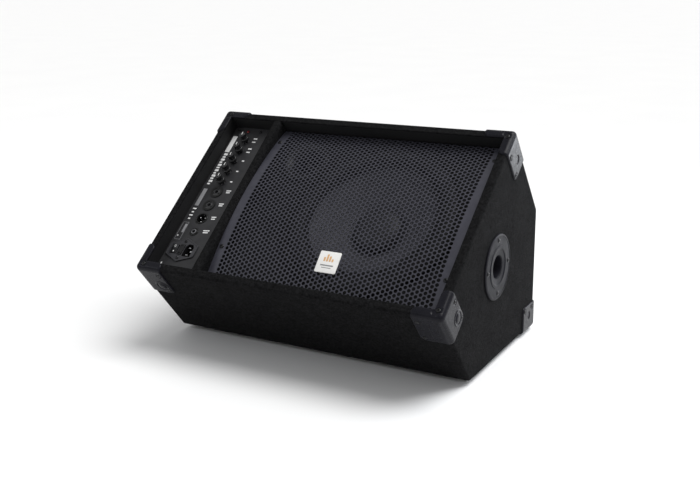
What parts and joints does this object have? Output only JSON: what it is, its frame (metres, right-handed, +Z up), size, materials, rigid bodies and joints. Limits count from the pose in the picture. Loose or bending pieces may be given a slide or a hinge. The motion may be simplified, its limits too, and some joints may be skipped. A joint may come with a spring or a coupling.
{
  "type": "stage monitor wedge",
  "caption": "Carpeted wedge-shaped powered stage monitor with a bowed perforated grille over a woofer and horn, a recessed amplifier panel and a pole socket.",
  "frame": {"origin": "middle of the footprint, on the floor under the four feet", "axes": "+X to the right of someone who faces the grille, +Y to the back, +Z up"},
  "size_m": [0.5518, 0.3984, 0.3664],
  "materials": {
    "plywood": "raw plywood",
    "carpet": "needle-felt speaker carpet",
    "black_board": "black painted board",
    "guard_plastic": "satin moulded plastic",
    "grille_steel": "satin black powder coat",
    "badge": "white printed plastic",
    "basket_steel": "black painted sheet steel",
    "gasket": "fibre gasket",
    "surround": "doped cloth",
    "cone_paper": "pressed paper",
    "dust_cap": "pressed paper",
    "spider": "corrugated cloth",
    "steel": "plated steel",
    "ferrite": "sintered ferrite",
    "horn_plastic": "moulded black",
    "driver_metal": "painted metal",
    "panel_paint": "grey powder coat with white print",
    "tray_steel": "zinc-plated sheet",
    "circuit_board": "green resin board",
    "knob_plastic": "black moulded, white pointer",
    "socket_grey": "grey moulded",
    "socket_black": "black moulded",
    "mains_plastic": "black moulded",
    "rocker_plastic": "gloss black, white mark",
    "lamp": "clear red",
    "heatsink": "extruded",
    "winding": "taped copper winding",
    "rubber": "moulded",
    "lead": "red insulation",
    "handle_plastic": "moulded black",
    "pole_plastic": "moulded dark grey"
  },
  "bodies": {
    "cabinet": {"side_left": "plywood", "side_right": "plywood", "bottom_board": "plywood", "rear_board": "plywood", "top_board": "plywood", "kick_board": "plywood", "bay_divider": "carpet", "baffle": "black_board", "grille_batten_left": "black_board", "grille_batten_right": "black_board", "carpet_wrap": "carpet", "carpet_left": "carpet", "carpet_right": "carpet", "guard_top_left": "guard_plastic", "guard_top_right": "guard_plastic", "guard_kick_left": "guard_plastic", "guard_kick_right": "guard_plastic", "guard_rear_left": "guard_plastic", "guard_rear_right": "guard_plastic", "foot_front_left": "rubber", "foot_front_right": "rubber", "foot_rear_left": "rubber", "foot_rear_right": "rubber", "pole_socket": "pole_plastic", "carry_handle": "handle_plastic", "grille": "grille_steel", "badge": "badge", "woofer_basket": "basket_steel", "woofer_gasket": "gasket", "woofer_surround": "surround", "spider": "spider", "top_plate": "steel", "magnet": "ferrite", "back_plate": "steel", "tweeter_horn": "horn_plastic", "tweeter_driver": "driver_metal", "tweeter_lead": "lead", "woofer_lead": "lead", "amp_panel": "panel_paint", "amp_tray": "tray_steel", "control_board": "circuit_board", "power_lamp": "lamp", "input_socket_1": "socket_grey", "input_socket_2": "socket_grey", "output_socket": "socket_black", "jack_socket": "socket_black", "mains_inlet": "mains_plastic", "power_board": "circuit_board", "heat_sink": "heatsink", "transformer": "winding"},
    "cone": {"woofer_cone": "cone_paper", "dust_cap": "dust_cap"},
    "rocker": {"rocker_switch": "rocker_plastic"},
    "drawer": {"fuse_drawer": "mains_plastic"},
    "control_1": {"knob_1": "knob_plastic"},
    "control_2": {"knob_2": "knob_plastic"},
    "control_3": {"knob_3": "knob_plastic"},
    "control_4": {"knob_4": "knob_plastic"},
    "control_5": {"knob_5": "knob_plastic"}
  },
  "joints": [
    {"name": "cone_travel", "type": "slide", "parent": "cabinet", "child": "cone", "axis": [0, -0.6293, 0.7771], "range_m": [-0.005, 0.005], "stiffness_N_per_m": 2500, "deforming": ["woofer_surround", "spider"]},
    {"name": "knob_1_turn", "type": "hinge", "parent": "cabinet", "child": "control_1", "pos_m": [-0.2238, 0.05641, 0.31441], "axis": [0, -0.6293, 0.7771], "range_deg": [-150, 150]},
    {"name": "knob_2_turn", "type": "hinge", "parent": "cabinet", "child": "control_2", "pos_m": [-0.2238, 0.03776, 0.2993], "axis": [0, -0.6293, 0.7771], "range_deg": [-150, 150]},
    {"name": "knob_3_turn", "type": "hinge", "parent": "cabinet", "child": "control_3", "pos_m": [-0.2238, 0.01911, 0.2842], "axis": [0, -0.6293, 0.7771], "range_deg": [-150, 150]},
    {"name": "knob_4_turn", "type": "hinge", "parent": "cabinet", "child": "control_4", "pos_m": [-0.2238, 0.00046, 0.2691], "axis": [0, -0.6293, 0.7771], "range_deg": [-150, 150]},
    {"name": "knob_5_turn", "type": "hinge", "parent": "cabinet", "child": "control_5", "pos_m": [-0.2238, -0.01819, 0.25399], "axis": [0, -0.6293, 0.7771], "range_deg": [-150, 150]},
    {"name": "rocker_tip", "type": "hinge", "parent": "cabinet", "child": "rocker", "pos_m": [-0.2411, -0.13371, 0.16148], "axis": [1, 0, 0], "range_deg": [-16, 0]},
    {"name": "fuse_drawer_pull", "type": "slide", "parent": "cabinet", "child": "drawer", "axis": [0, -0.6293, 0.7771], "range_m": [0, 0.018]}
  ]
}
